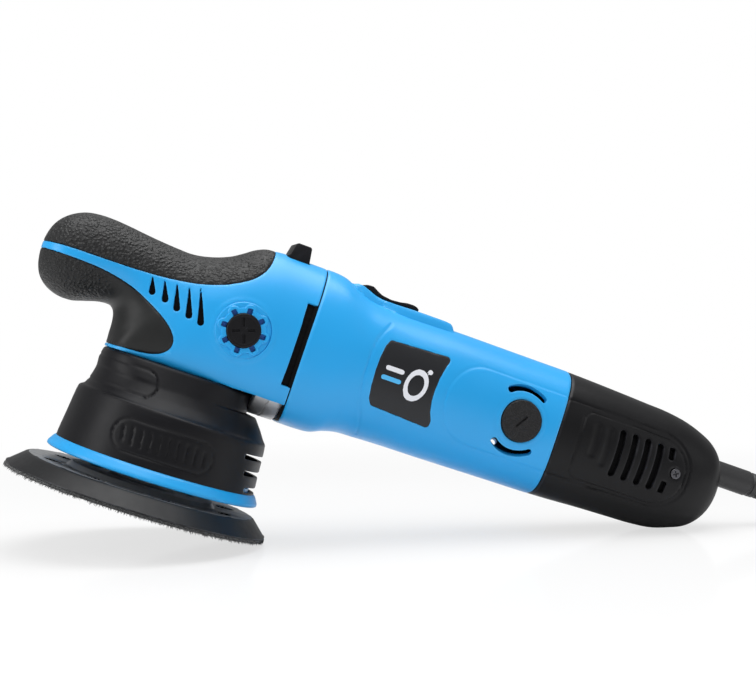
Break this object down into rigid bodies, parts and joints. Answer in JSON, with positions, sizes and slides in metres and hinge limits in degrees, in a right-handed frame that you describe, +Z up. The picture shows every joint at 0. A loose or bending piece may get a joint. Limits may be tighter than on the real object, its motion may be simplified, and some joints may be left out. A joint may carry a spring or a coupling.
{
  "type": "dual action polisher",
  "caption": "Random orbital car polisher: geared motor in a long body, padded head grip, and an orbiting round backing pad that also spins freely.",
  "frame": {"origin": "on the bench plane, under the middle of the tool's bounding box, with the tool set down on the rear edge of its pad and the foot under its rear cap", "axes": "+Z up, +X from the head towards the cord, +Y across the tool to its right side. The motor axis lies in the XZ plane, falling 19.1 degrees towards +X, and the spindle axis is square to it, leaning 19.1 degrees from +Z towards +X"},
  "size_m": [0.528, 0.1492, 0.1861],
  "materials": {
    "blue_housing": "satin moulded",
    "grip_rubber": "matte, fine texture",
    "black_plastic": "satin moulded",
    "badge": "satin",
    "cast_aluminium": "as cast",
    "steel": "machined",
    "copper": "enamelled winding and turned copper",
    "carbon": "carbon graphite",
    "pad_body": "moulded",
    "pad_hook": "hook pile"
  },
  "bodies": {
    "housing": {"head_shell_left": "blue_housing", "head_shell_right": "blue_housing", "motor_housing": "blue_housing", "shroud_ring": "blue_housing", "handle_index_ring_left": "blue_housing", "handle_index_ring_right": "blue_housing", "grip_pad_top": "grip_rubber", "grip_pad_lower": "grip_rubber", "cord_guard": "grip_rubber", "power_cord": "grip_rubber", "shroud": "black_plastic", "rear_cap": "black_plastic", "brush_cap_left": "black_plastic", "brush_cap_right": "black_plastic", "handle_plug_left": "black_plastic", "handle_plug_right": "black_plastic", "switch_module": "black_plastic", "cord_clamp": "black_plastic", "badge_plate_left": "badge", "badge_plate_right": "badge", "gear_housing": "cast_aluminium", "bearing_cover": "cast_aluminium", "head_screw_front": "steel", "head_screw_rear": "steel", "gearbox_screw_1": "steel", "gearbox_screw_2": "steel", "gearbox_screw_3": "steel", "gearbox_screw_4": "steel", "rear_cap_screw_left": "steel", "rear_cap_screw_right": "steel", "spindle_bearing_lower": "steel", "stator_core": "steel", "field_coil_upper": "copper", "field_coil_lower": "copper", "brush_holder_left": "copper", "brush_holder_right": "copper", "carbon_brush_left": "carbon", "carbon_brush_right": "carbon"},
    "armature": {"armature_shaft": "steel", "bevel_pinion": "steel", "lock_collar": "steel", "armature_bearing_front": "steel", "armature_bearing_rear": "steel", "motor_fan": "black_plastic", "armature_core": "steel", "armature_winding": "copper", "commutator": "copper"},
    "spindle": {"spindle_shaft": "steel", "bevel_gear": "steel", "eccentric_weight": "steel", "pad_bearing": "steel"},
    "pad": {"pad_arbor": "steel", "backing_plate": "pad_body", "hook_face": "pad_hook"},
    "lock": {"lock_button": "black_plastic", "lock_pin": "steel", "lock_spring": "steel"},
    "switch": {"switch_slider": "black_plastic", "switch_link": "steel"},
    "dial": {"speed_dial": "black_plastic"}
  },
  "joints": [
    {"name": "spindle_spin", "type": "hinge", "parent": "housing", "child": "spindle", "pos_m": [-0.15289, 0, 0.12933], "axis": [0.3272, 0, 0.9449], "continuous": true},
    {"name": "armature_spin", "type": "hinge", "parent": "housing", "child": "armature", "pos_m": [-0.15289, 0, 0.12933], "axis": [0.9449, 0, -0.3272], "continuous": true},
    {"name": "pad_spin", "type": "hinge", "parent": "spindle", "child": "pad", "pos_m": [-0.18691, 0, 0.04332], "axis": [0.3272, 0, 0.9449], "continuous": true},
    {"name": "lock_press", "type": "slide", "parent": "housing", "child": "lock", "axis": [-0.3272, 0, -0.9449], "range_m": [0, 0.0035], "stiffness_N_per_m": 400},
    {"name": "switch_slide", "type": "slide", "parent": "housing", "child": "switch", "axis": [0.9449, 0, -0.3272], "range_m": [0, 0.007]},
    {"name": "dial_turn", "type": "hinge", "parent": "housing", "child": "dial", "pos_m": [0.07275, 0.0196, 0.07193], "axis": [0.9449, 0, -0.3272], "range_deg": [0, 300]}
  ],
  "couplings": [
    {"joint": "armature_spin", "follows": "spindle_spin", "ratio": 3}
  ]
}
